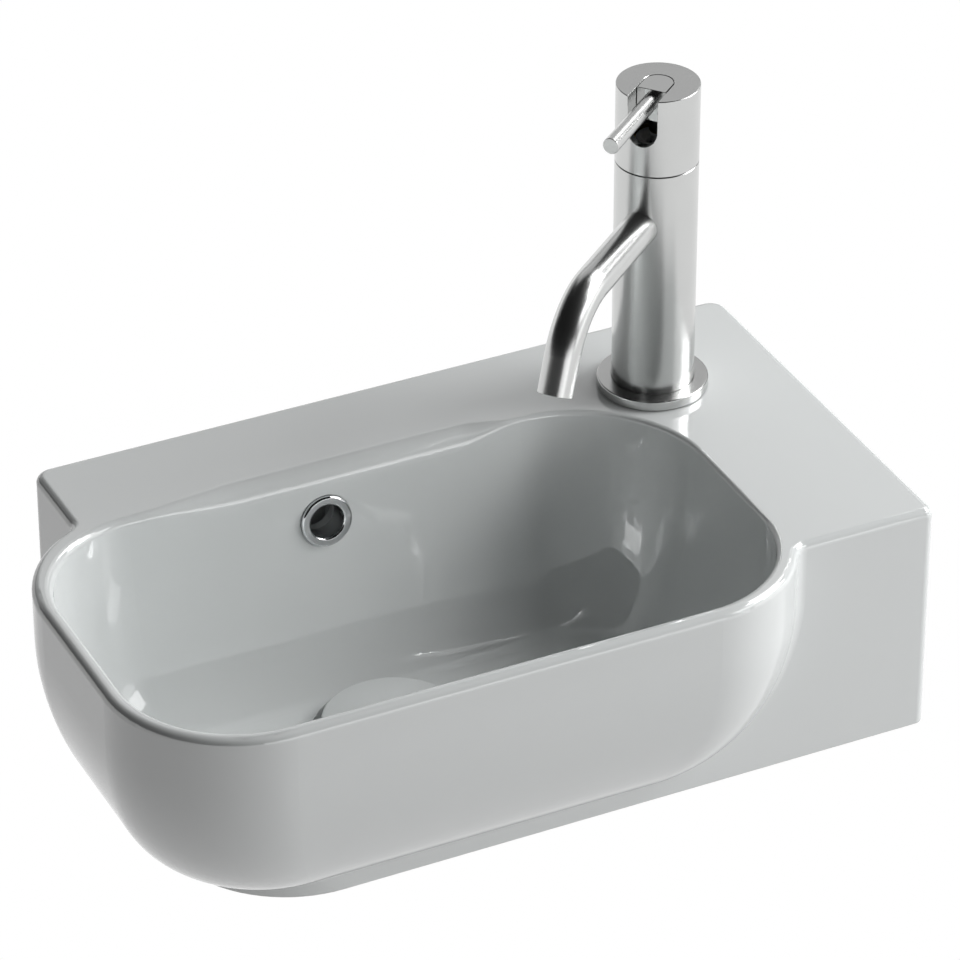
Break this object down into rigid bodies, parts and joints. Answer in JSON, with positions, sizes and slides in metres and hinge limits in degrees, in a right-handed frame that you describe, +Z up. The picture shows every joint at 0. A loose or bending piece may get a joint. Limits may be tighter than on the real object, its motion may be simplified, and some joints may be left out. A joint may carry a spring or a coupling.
{
  "type": "wall-hung basin",
  "caption": "Small wall-hung glazed ceramic basin with a rounded bowl in a slab, a side tap ledge, a pin-lever mixer tap, an overflow ring and a push-open waste.",
  "frame": {"origin": "midway between the two wall-fixing holes, on the flat back face that meets the wall", "axes": "+X to the right along the wall, +Y into the wall, +Z up"},
  "size_m": [0.407, 0.2505, 0.3117],
  "materials": {
    "glazed_ceramic": "white gloss glaze on vitreous china",
    "satin_steel": "finely satin-turned stainless steel",
    "chrome": "polished chrome plate",
    "brass": "plain machined brass",
    "rubber": "matt black rubber",
    "plastic": "moulded off-white plastic",
    "disc_ceramic": "lapped alumina",
    "steel": "zinc-plated steel"
  },
  "bodies": {
    "basin": {"basin_body": "glazed_ceramic", "overflow_ring": "chrome", "overflow_grip": "rubber", "waste_body": "chrome", "waste_flange_seal": "rubber", "waste_lower_seal": "rubber", "waste_washer": "plastic", "waste_nut": "brass", "click_housing": "plastic", "click_nut": "brass", "click_collar": "plastic", "click_spring": "steel", "tap_base_gasket": "rubber", "tap_base_ring": "satin_steel", "tap_body": "satin_steel", "spout_tube": "satin_steel", "aerator_housing": "plastic", "aerator_screen": "plastic", "aerator_seal": "rubber", "port_seals": "rubber", "fixed_disc": "disc_ceramic", "cartridge_housing": "plastic", "cartridge_nut": "brass", "glide_ring": "plastic", "clamp_rubber": "rubber", "clamp_plate": "steel", "stud_nut": "brass", "fixing_stud": "steel"},
    "plug": {"plug_carrier": "plastic", "plug_seal": "rubber", "waste_cap": "glazed_ceramic", "click_stem": "brass"},
    "control": {"control_cap": "satin_steel"},
    "lever": {"lever_hub": "satin_steel", "lever_pin": "satin_steel", "lever_spindle": "brass"},
    "slider": {"moving_disc": "disc_ceramic", "disc_carrier": "plastic"}
  },
  "joints": [
    {"name": "cap_turn", "type": "hinge", "parent": "basin", "child": "control", "pos_m": [0.1164, -0.0579, 0.17], "axis": [0, 0, 1], "range_deg": [-45, 45]},
    {"name": "lever_tilt", "type": "hinge", "parent": "control", "child": "lever", "pos_m": [0.1164, -0.0579, 0.177], "axis": [0.6361, -0.7716, 0], "range_deg": [0, 20]},
    {"name": "disc_slide", "type": "slide", "parent": "control", "child": "slider", "axis": [-0.7716, -0.6361, 0], "range_m": [-0.0056, 0]},
    {"name": "plug_slide", "type": "slide", "parent": "basin", "child": "plug", "axis": [0, 0, 1], "range_m": [-0.0045, 0], "deforming": ["click_spring"]}
  ],
  "couplings": [
    {"joint": "disc_slide", "follows": "lever_tilt", "m_per_rad": -0.015919}
  ]
}
